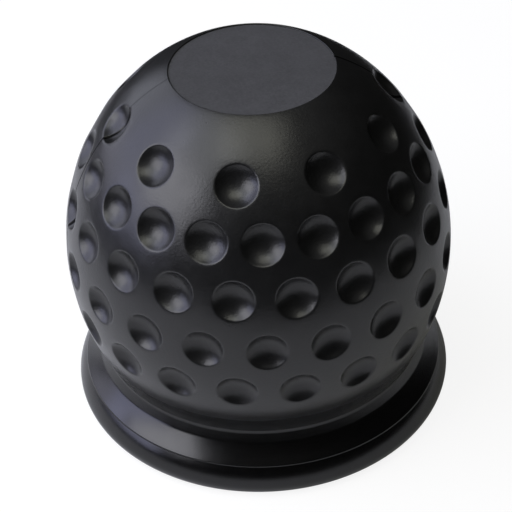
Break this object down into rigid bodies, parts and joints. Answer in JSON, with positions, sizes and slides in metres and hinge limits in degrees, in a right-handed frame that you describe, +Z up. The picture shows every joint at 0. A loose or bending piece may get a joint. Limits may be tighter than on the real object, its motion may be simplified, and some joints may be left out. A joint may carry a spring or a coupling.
{
  "type": "tow ball cover",
  "caption": "Hollow black rubber cover with a dimpled egg-shaped dome, sunken flat top pad, grooved neck and flared foot, pressed over a tow ball to keep it clean.",
  "frame": {"origin": "centre of the flat underside of the foot, on the surface that the cover stands on", "axes": "+Z up along the axis of the dome and the socket; the mould parts in the XZ plane, with -Y to the front"},
  "size_m": [0.067, 0.067, 0.0644],
  "materials": {
    "black_rubber": "satin moulded black rubber"
  },
  "bodies": {
    "root": {"ball_cover": "black_rubber"}
  },
  "joints": []
}
